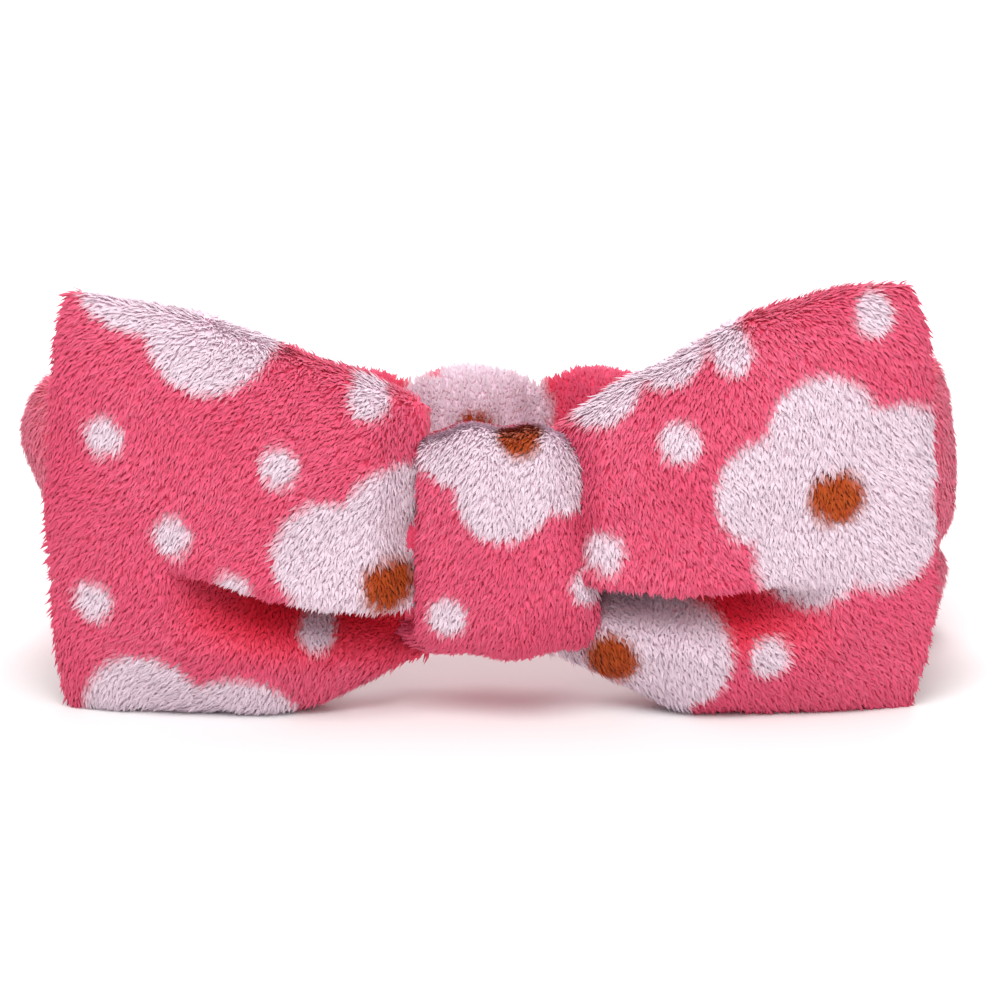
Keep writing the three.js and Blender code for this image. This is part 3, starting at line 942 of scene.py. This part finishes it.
def knotSurface(turn, across, thickness):
    middleY = (knotLow.y + knot["crown"] + knotHigh.y) / 2
    middleZ = (knotLow.z + knotHigh.z) / 2
    halfDepth = (knotHigh.y - knotLow.y - knot["crown"]) / 2 - knot["inset"] - thickness
    halfHeight = (knotHigh.z - knotLow.z) / 2 - knot["inset"] - thickness
    power = 2 / knot["squareness"]
    angle = 2 * np.pi * turn
    rise = signedPower(np.sin(angle), power)
    deep = signedPower(np.cos(angle), power)
    side = 2 * across - 1
    edge = 1 - knot["edgeThinning"] * np.abs(side) ** 3.5
    forward = np.clip(-np.cos(angle), 0, 1)
    crown = knot["crown"] * forward * (1 - side ** 2) * (thickness == 0)
    crease = knot["creaseDepth"] * np.cos(7.0 * side + 0.8 + 1.2 * rise) * (thickness == 0)
    y = middleY + deep * (halfDepth * edge + crease) - crown
    z = middleZ + rise * (halfHeight * edge + crease)
    behind = np.maximum(y - knotLow.y - knot["slopeFrom"], 0)
    z = z - knot["topSlope"] * behind * smooth(rise, 0.2, 1.0)
    share = (z - knotLow.z) / (knotHigh.z - knotLow.z)
    half = knot["halfBottom"] + (knot["halfTop"] - knot["halfBottom"]) * share
    lean = knot["leanBottom"] + (knot["leanTop"] - knot["leanBottom"]) * share
    lean = lean * smooth(forward, 0.0, 0.5)
    return np.stack(np.broadcast_arrays(lean + half * side, y, z), -1)


def addKnot():
    around, across = knot["steps"]
    half = (knotHigh - knotLow) / 2
    turn = evenTurns(around, half.y, half.z, knot["squareness"])[:, None]
    over = np.linspace(0, 1, across)[None, :]
    rolled = (1 - np.cos(np.pi * over)) / 2 * 0.35 + over * 0.65
    outside = knotSurface(turn, rolled, 0.0)
    inside = knotSurface(turn, rolled, knot["wall"])
    loop = np.concatenate([outside, inside[:, ::-1]], 1)
    columns = loop.shape[1]
    faces = gridFaces(around, columns, True, True)
    ground = newMesh("knot_skin", loop.reshape(-1, 3), faces)
    roughen(ground, 15 * mm, 0.9 * mm, knot["seed"])
    points = meshPoints(ground)
    # over the top the print runs on along the strip
    over = np.clip(points[:, 1] - knotLow.y - 7 * mm, 0, 1) * (points[:, 2] > 40 * mm)
    flat = np.stack([points[:, 0], points[:, 2] + 0.9 * over], 1)
    white, eye = motifs(flat, knot["flowers"], knot["dots"])
    front = 1 - smooth(points[:, 1], knotLow.y + 14 * mm, knotLow.y + 26 * mm)
    keepAttribute(ground, "white", white * front)
    keepAttribute(ground, "eye", eye * front)
    isOut = np.tile(np.arange(columns) < across, around)
    keepAttribute(ground, "cover", isOut * 1.0)
    keepAttribute(ground, "depth", np.ones(len(points)) * 0.95)
    lean = tangents(loop, 0)
    lean[..., 0] += knot["napAside"]
    keepAttribute(ground, "nap", lean, "FLOAT_VECTOR")
    ground.data.materials.append(groundLook)
    for piece in (ground, growPile(ground, "knot_pile", 10 * knot["seed"] + 1, knot["density"])):
        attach(piece, "front")
    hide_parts("knot_wrap")


addKnot()
print("knot ready")


# sleeve of the band: a soft tube round the loop, gathered behind
sleeve = {
    "steps": (330, 72),
    "squareness": 2.5,
    "thickness": 5.8 * mm,        # half the tube's thickness, without its pile
    "height": 66.0 * mm,
    "rearHeight": 53.5 * mm,
    "gatherStart": 49.0 * mm,     # half width of the fully gathered stretch
    "gatherEnd": 80.0 * mm,
    "puckerPitch": 30.5 * mm,
    "puckerMiddle": -4.0 * mm,
    "puckerSwell": 3.4 * mm,
    "puckerPinch": 3.3 * mm,
    "puckerScallop": 4.6 * mm,
    "wrinklePitch": 9.7 * mm,
    "wrinkleDepth": 0.6 * mm,
    "pinchStart": 20.0 * mm,
    "pinchEnd": 76.0 * mm,
    "pinchTop": 53.5 * mm,
    "creaseHeight": 22.5 * mm,    # fold across the right end
    "creaseDepth": 3.4 * mm,
    "rightTuck": 1.2 * mm,        # the right end's foot leans in
    "leftDrop": 6.5 * mm,         # the left end is lower
    "leftTuck": 8.5 * mm,         # and its foot leans in further
    "leftWaist": (34 * mm, 7 * mm, 1.8 * mm),     # height, spread, depth of its hollow
    "leftSwell": (49 * mm, 8 * mm, 1.8 * mm),     # and of its swell
    "seed": 21,
    "sectors": 6,                 # the pile is one piece in each
    "density": 0.56,
    "printRadius": 76 * mm,       # turns the way round the loop into a length of cloth
    "rearFlower": (-3.5 * mm, 39.3 * mm, 90, 0.74),    # the one behind the knot
    "rearDot": (-44 * mm, 44 * mm),
    "blend": (-28 * mm, 57 * mm),
    "endGlow": 0.13,              # how much paler the two ends are
}


def ringAt(angle, offset):
    slopeX, slopeY = ringB * np.cos(angle), ringA * np.sin(angle)
    size = np.hypot(slopeX, slopeY)
    x = ringA * np.cos(angle) + offset * slopeX / size
    y = ringY + ringB * np.sin(angle) + offset * slopeY / size
    return x, y


def gathering(angle):
    fade = smooth(np.abs(ringA * np.cos(angle)), sleeve["gatherStart"], sleeve["gatherEnd"])
    return (np.sin(angle) > 0) * (1 - fade)


def pinching(angle):
    fade = smooth(np.abs(ringA * np.cos(angle)), sleeve["pinchStart"], sleeve["pinchEnd"])
    return (np.sin(angle) <= 0) * (1 - fade)


def pucker(angle):
    along = ringA * np.cos(angle) - sleeve["puckerMiddle"]
    return np.abs(np.cos(np.pi * along / sleeve["puckerPitch"])) ** 0.75


def sleeveEdges(angle):
    # heights of the tube's lower and upper edges
    gather, pinch, valley = gathering(angle), pinching(angle), 1 - pucker(angle)
    base = gatherBase * pinch + 1.0 * mm + 1.5 * mm * gather * valley
    low = sleeve["rearHeight"] - sleeve["puckerScallop"] * valley
    full = sleeve["height"]
    return base, full + (sleeve["pinchTop"] - full) * pinch + (low - full) * gather


def sleeveSurface(angle, around):
    # around runs once round the section
    gather, wave = gathering(angle), pucker(angle)
    base, top = sleeveEdges(angle)
    right = bell(angle % (2 * np.pi), 0.0, 0.5) + bell(angle, 2 * np.pi, 0.5)
    left = bell(angle, np.pi, 0.5)
    top = top - sleeve["leftDrop"] * left
    power = 2 / sleeve["squareness"]
    section = 2 * np.pi * around
    wide = signedPower(np.cos(section), power)
    rise = signedPower(np.sin(section), power)
    z = (base + top) / 2 + (top - base) / 2 * rise
    swell = sleeve["puckerSwell"] * wave - sleeve["puckerPinch"] * (1 - wave)
    along = ringA * np.cos(angle)
    wrinkle = sleeve["wrinkleDepth"] * np.cos(2 * np.pi * along / sleeve["wrinklePitch"] + 3 * rise)
    half = sleeve["thickness"] + gather * (swell + wrinkle)
    offset = half * wide
    crease = bell(z, sleeve["creaseHeight"], 4.5 * mm) * sleeve["creaseDepth"]
    offset = offset - crease * right * smooth(wide, -0.2, 0.9)
    offset = offset - sleeve["rightTuck"] * right * (1 - smooth(z, 6 * mm, 20 * mm))
    tuck = 1 - smooth(z, 4 * mm, 50 * mm)
    offset = offset - sleeve["leftTuck"] * left * tuck
    height, spread, depth = sleeve["leftWaist"]
    offset = offset - depth * left * bell(z, height, spread) * smooth(wide, 0, 0.9)
    height, spread, depth = sleeve["leftSwell"]
    offset = offset + depth * left * bell(z, height, spread)
    x, y = ringAt(angle, offset)
    return np.stack(np.broadcast_arrays(x, y, z), -1)


def sleeveMasks(points, around):
    # flowers and dots on the flat strip: a row for the outer face, and one for the inner
    turn = np.unwrap(np.arctan2(points[:, 1] - ringY, points[:, 0] * ringB / ringA))
    inner = np.cos(2 * np.pi * around) < 0
    flat = np.stack([turn * sleeve["printRadius"], points[:, 2] + inner * 500 * mm], 1)
    flowers, dots = [], []
    for shift, first, second in ((0.0, 20.0, 17.0), (500.0, 21.0, 43.0)):
        for k in range(9):
            at = (-240 + 58 * k + (25 if shift else 0)) * mm
            height = first if k % 2 else second + 10
            flowers.append((at, (shift + height) * mm, 40 * k, 0.95))
            for dx, dz in ((26, 52), (33, 30), (22, 10), (38, 60)):
                dots.append((at + dx * mm, (shift + dz) * mm))
    return flowerMasks(flat, flowers, dots)


def sector(index):
    first = 2 * np.pi * (index / sleeve["sectors"])
    last = 2 * np.pi * ((index + 1) / sleeve["sectors"])

    def wanted(centres):
        outward = (centres[:, 1] - ringY) * ringA / ringB
        angle = np.arctan2(outward, centres[:, 0]) % (2 * np.pi)
        return (angle >= first) & (angle < last)
    return wanted


def addSleeve():
    rows, columns = sleeve["steps"]
    angle = (2 * np.pi * np.arange(rows) / rows)[:, None]
    around = evenTurns(columns, sleeve["thickness"], sleeve["height"] / 2, sleeve["squareness"])
    surface = sleeveSurface(angle, around[None, :])
    faces = gridFaces(rows, columns, True, True)
    ground = newMesh("sleeve_skin", surface.reshape(-1, 3), faces)
    roughen(ground, 30 * mm, 1.5 * mm, sleeve["seed"])
    roughen(ground, 11 * mm, 0.7 * mm, sleeve["seed"] + 1)
    points = meshPoints(ground)
    angles = np.repeat(angle.ravel(), columns)
    arounds = np.tile(around, rows)
    wide = np.cos(2 * np.pi * arounds)                   # 1 outside the loop, -1 inside
    white, eye = sleeveMasks(points, arounds)
    # the flower seen behind the knot, on the inner face
    inside = (wide < 0.35) & (np.abs(points[:, 0]) < 70 * mm) & (np.sin(angles) > 0)
    plane = points[:, [0, 2]]
    rearWhite, rearEye = flowerMasks(plane, [sleeve["rearFlower"]], [sleeve["rearDot"]])
    nearEnds = (np.abs(np.cos(angles)) > 0.93) & (wide > -0.5)
    white = np.where(inside, rearWhite, np.where(nearEnds, 0, white))
    eye = np.where(inside, rearEye, np.where(nearEnds, 0, eye))
    # the ends look paler, where the light comes through the pile
    glow = smooth(np.abs(np.cos(angles)), 0.90, 0.985) * smooth(wide, -0.3, 0.4)
    keepAttribute(ground, "white", np.maximum(white, sleeve["endGlow"] * glow))
    keepAttribute(ground, "eye", eye)
    keepAttribute(ground, "cover", np.ones(len(points)))
    keepAttribute(ground, "depth", np.full(len(points), 0.92))
    # painted shade: deeper red painted into the valleys of the gathers
    keepAttribute(ground, "creaseShade", gathering(angles) * (1 - pucker(angles)) ** 1.5 * 0.9)
    # the fleece has one nap, so it runs over the top edge and up again inside
    keepAttribute(ground, "nap", tangents(surface, 1, -1), "FLOAT_VECTOR")
    ground.data.materials.append(groundLook)
    pieces = [ground]
    for index in range(sleeve["sectors"]):
        name, seed = f"sleeve_pile_{index + 1}", 10 * sleeve["seed"] + index
        pieces.append(pileOn(ground, sector(index), name, seed, sleeve["density"]))
    for piece in pieces:
        blendBand(piece)
    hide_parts("sleeve_front", "sleeve_rear")


def blendBand(piece):
    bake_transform(piece)


addSleeve()
print("sleeve ready")


# elastic webbing inside the sleeve: one strip, its ends overlapped behind
elastic = {
    "width": 25.0 * mm,
    "thickness": 1.2 * mm,
    "overlap": 24.0 * mm,
    "gap": 0.5 * mm,
    "steps": 200,
    "across": 6,
}


def addElastic():
    steps, across = elastic["steps"], elastic["across"]
    half = elastic["overlap"] / 2 / ringA
    angle = np.linspace(np.pi / 2 - half, 2.5 * np.pi + half, steps)
    layer = (elastic["thickness"] + elastic["gap"]) / 2
    offset = layer * (smooth(angle, np.pi / 2, 2.4 * np.pi) * 2 - 1)
    base, top = sleeveEdges(angle)
    middle = (base + top) / 2
    share = np.concatenate([np.linspace(0, 1, across), np.linspace(1, 0, across)])
    side = np.concatenate([np.ones(across), -np.ones(across)])
    points, coordinates = [], []
    for i in range(steps):
        for s, k in zip(share, side):
            x, y = ringAt(angle[i], offset[i] + k * elastic["thickness"] / 2)
            points.append((x, y, middle[i] + (s - 0.5) * elastic["width"]))
            coordinates.append((angle[i], s * elastic["width"] * 100))
    columns = 2 * across
    faces = gridFaces(steps, columns, False, True)
    faces.append(tuple(range(columns)))
    faces.append(tuple(range((steps - 1) * columns, steps * columns))[::-1])
    strip = newMesh("elastic_webbing", points, faces)
    weave = strip.data.uv_layers.new(name="weave")
    corners = cornerVertices(strip.data)
    weave.data.foreach_set("uv", np.array(coordinates)[corners].ravel())
    strip.data.materials.append(webbingLook)
    blendBand(strip)
    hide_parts("elastic_front", "elastic_end_left", "elastic_end_right")


addElastic()
print("elastic ready")


# long seam of the sleeve: stitches laid along a path by Geometry Nodes
stitch = {
    "Pitch": 3.4 * mm,
    "Length": 2.7 * mm,
    "Radius": 0.35 * mm,
}
seam = {
    "steps": 240,
    "height": 4.5 * mm,           # above the sleeve's lower edge
}


def stitchTree():
    tree, given = newTree("seamStitches", stitch)
    nodes, links = tree.nodes, tree.links
    path = nodes.new("GeometryNodeMeshToCurve")
    links.new(given.outputs["Geometry"], path.inputs["Mesh"])
    spaced = nodes.new("GeometryNodeCurveToPoints")
    spaced.mode = "LENGTH"
    links.new(path.outputs["Curve"], spaced.inputs["Curve"])
    links.new(given.outputs["Pitch"], spaced.inputs["Length"])
    thread = nodes.new("GeometryNodeMeshUVSphere")
    thread.inputs["Segments"].default_value = 6
    thread.inputs["Rings"].default_value = 5
    thread.inputs["Radius"].default_value = 1.0
    half = nodes.new("ShaderNodeMath")
    half.operation = "DIVIDE"
    half.inputs[1].default_value = 2.0
    links.new(given.outputs["Length"], half.inputs[0])
    size = nodes.new("ShaderNodeCombineXYZ")
    links.new(given.outputs["Radius"], size.inputs["X"])
    links.new(given.outputs["Radius"], size.inputs["Y"])
    links.new(half.outputs["Value"], size.inputs["Z"])
    plant = nodes.new("GeometryNodeInstanceOnPoints")
    links.new(spaced.outputs["Points"], plant.inputs["Points"])
    links.new(spaced.outputs["Rotation"], plant.inputs["Rotation"])
    links.new(thread.outputs["Mesh"], plant.inputs["Instance"])
    links.new(size.outputs["Vector"], plant.inputs["Scale"])
    endTree(tree, plant.outputs["Instances"], threadLook)
    return tree


def addSeam():
    count = seam["steps"]
    angle = 2 * np.pi * np.arange(count) / count
    x, y = ringAt(angle, -(elastic["thickness"] + elastic["gap"] + stitch["Radius"]))
    z = gatherBase * pinching(angle) + seam["height"]
    mesh = bpy.data.meshes.new("seamPath")
    edges = [(i, (i + 1) % count) for i in range(count)]
    mesh.from_pydata([tuple(p) for p in np.stack([x, y, z], 1)], edges, [])
    path = addObject("seamPath", mesh)
    modifier = path.modifiers.new("stitches", "NODES")
    modifier.node_group = stitchTree()
    for label, value in stitch.items():
        setInput(modifier, label, value)
    sewn = addObject("sleeve_seam", grownMesh(path))
    bpy.data.objects.remove(path)
    print("sleeve seam", len(sewn.data.polygons), "faces")
    blendBand(sewn)
    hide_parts("sleeve_seam_front", "sleeve_seam_rear")


addSeam()


# CAD pieces that stay: the pinched middle of the bow and the sewing threads
for name, node in frame["nodes"].items():
    node.data.materials.clear()
    node.data.materials.append(groundLook if name == "bow_gather" else threadLook)

bpy.data.objects.remove(blade)
